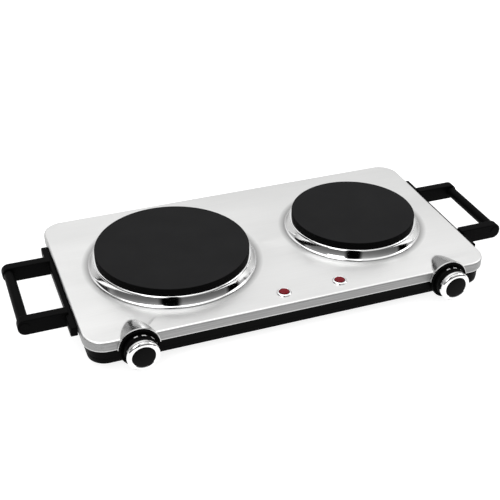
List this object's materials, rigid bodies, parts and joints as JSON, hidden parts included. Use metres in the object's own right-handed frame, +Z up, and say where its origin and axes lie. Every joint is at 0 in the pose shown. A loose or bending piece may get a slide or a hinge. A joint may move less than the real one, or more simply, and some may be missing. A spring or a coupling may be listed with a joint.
{
  "type": "double hot plate",
  "caption": "Low table-top electric hot plate: steel panel with a large and a small round cast plate, front rotary knobs, pilot lamps and carrying handles at the ends.",
  "frame": {"origin": "centre of the whole box in X and Y, at the bottom of the feet", "axes": "+X to the right towards the small plate, -Y to the front where the knobs are, +Z up"},
  "size_m": [0.618, 0.2868, 0.062],
  "materials": {
    "panel_steel": "brushed",
    "black_moulding": "satin",
    "knob_black": "satin",
    "bottom_paint": "matt black",
    "foot_rubber": "matt",
    "cast_plate": "matt coating",
    "bright_trim": "polished",
    "zinc_steel": "zinc plated",
    "heater_sheath": "heat tinted",
    "shield_sheet": "aluminised sheet",
    "fibre": "pressed fibre",
    "switch_body": "moulded",
    "red_lens": "translucent",
    "connector_body": "glazed",
    "brass_screw": "plain",
    "wire_sleeve": "braided sleeve"
  },
  "bodies": {
    "appliance": {"base_frame": "black_moulding", "bottom_sheet": "bottom_paint", "cord_inlet": "foot_rubber", "foot_front_left": "foot_rubber", "foot_front_right": "foot_rubber", "foot_rear_left": "foot_rubber", "foot_rear_right": "foot_rubber", "handle_screws": "zinc_steel", "left_clamp_strap": "zinc_steel", "left_grip_caps": "black_moulding", "left_handle": "black_moulding", "left_handle_grip": "black_moulding", "left_heat_shield": "shield_sheet", "left_heating_element": "heater_sheath", "left_insulation_disc": "fibre", "left_lamp_bezel": "bright_trim", "left_lamp_holder": "switch_body", "left_lamp_lens": "red_lens", "left_plate": "cast_plate", "left_plate_stud": "zinc_steel", "left_thermostat": "switch_body", "left_thermostat_bracket": "zinc_steel", "left_trim_ring": "bright_trim", "left_wiring": "wire_sleeve", "panel_nuts": "zinc_steel", "panel_studs": "zinc_steel", "plate_stud_nuts": "zinc_steel", "plate_stud_spacers": "zinc_steel", "right_clamp_strap": "zinc_steel", "right_grip_caps": "black_moulding", "right_handle": "black_moulding", "right_handle_grip": "black_moulding", "right_heat_shield": "shield_sheet", "right_heating_element": "heater_sheath", "right_insulation_disc": "fibre", "right_lamp_bezel": "bright_trim", "right_lamp_holder": "switch_body", "right_lamp_lens": "red_lens", "right_plate": "cast_plate", "right_plate_stud": "zinc_steel", "right_thermostat": "switch_body", "right_thermostat_bracket": "zinc_steel", "right_trim_ring": "bright_trim", "right_wiring": "wire_sleeve", "terminal_block": "connector_body", "terminal_screws": "brass_screw", "thermostat_nuts": "zinc_steel", "top_panel": "panel_steel"},
    "left_knob": {"left_knob_body": "knob_black", "left_knob_ring": "bright_trim", "left_knob_cap": "knob_black", "left_knob_shaft": "zinc_steel"},
    "right_knob": {"right_knob_body": "knob_black", "right_knob_ring": "bright_trim", "right_knob_cap": "knob_black", "right_knob_shaft": "zinc_steel"}
  },
  "joints": [
    {"name": "left_knob_turn", "type": "hinge", "parent": "appliance", "child": "left_knob", "pos_m": [-0.1904, -0.1216, 0.028], "axis": [0, 1, 0], "range_deg": [0, 270]},
    {"name": "right_knob_turn", "type": "hinge", "parent": "appliance", "child": "right_knob", "pos_m": [0.1904, -0.1216, 0.028], "axis": [0, 1, 0], "range_deg": [0, 270]}
  ]
}
